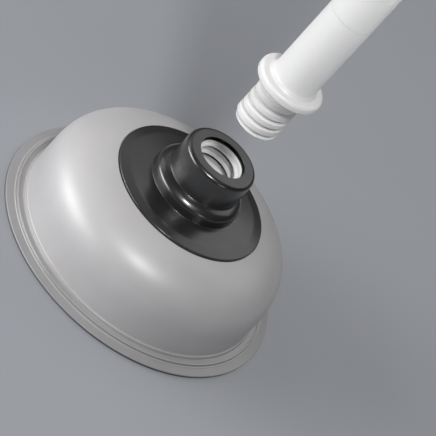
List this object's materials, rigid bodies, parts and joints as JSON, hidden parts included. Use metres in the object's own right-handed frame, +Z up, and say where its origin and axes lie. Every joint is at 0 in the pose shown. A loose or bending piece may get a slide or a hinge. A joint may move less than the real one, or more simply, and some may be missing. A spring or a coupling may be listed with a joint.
{
  "type": "toilet plunger",
  "caption": "Toilet plunger: round stepped-brim suction bell with a threaded neck, and a straight screw-in handle, shown unscrewed and lifted off along its axis.",
  "frame": {"origin": "middle of the brim's flat underside, which the plunger stands on", "axes": "+Z up along the plunger's axis, from the suction cup to the handle's top; +X and +Y are level"},
  "size_m": [0.15, 0.15, 0.5522],
  "materials": {
    "cup_rubber": "satin",
    "boot_rubber": "satin",
    "insert_plastic": "satin",
    "handle_plastic": "satin",
    "core_steel": "satin"
  },
  "bodies": {
    "cup": {"suction_cup": "cup_rubber"},
    "neck": {"neck_boot": "boot_rubber", "threaded_insert": "insert_plastic"},
    "core": {"handle_core": "core_steel"},
    "handle": {"handle_end_fitting": "handle_plastic", "handle_tube": "handle_plastic", "handle_top_cap": "handle_plastic"}
  },
  "joints": [
    {"name": "plunge", "type": "slide", "parent": "cup", "child": "neck", "axis": [0, 0, 1], "range_m": [-0.025, 0], "stiffness_N_per_m": 3000, "deforming": ["suction_cup"]},
    {"name": "handle_lift", "type": "slide", "parent": "neck", "child": "core", "axis": [0, 0, 1], "range_m": [-0.0519, 0]},
    {"name": "handle_turn", "type": "hinge", "parent": "core", "child": "handle", "pos_m": [0, 0, 0.1252], "axis": [0, 0, 1], "range_deg": [-3678, 0]}
  ],
  "couplings": [
    {"joint": "handle_turn", "follows": "handle_lift", "rad_per_m": 1236.8}
  ]
}
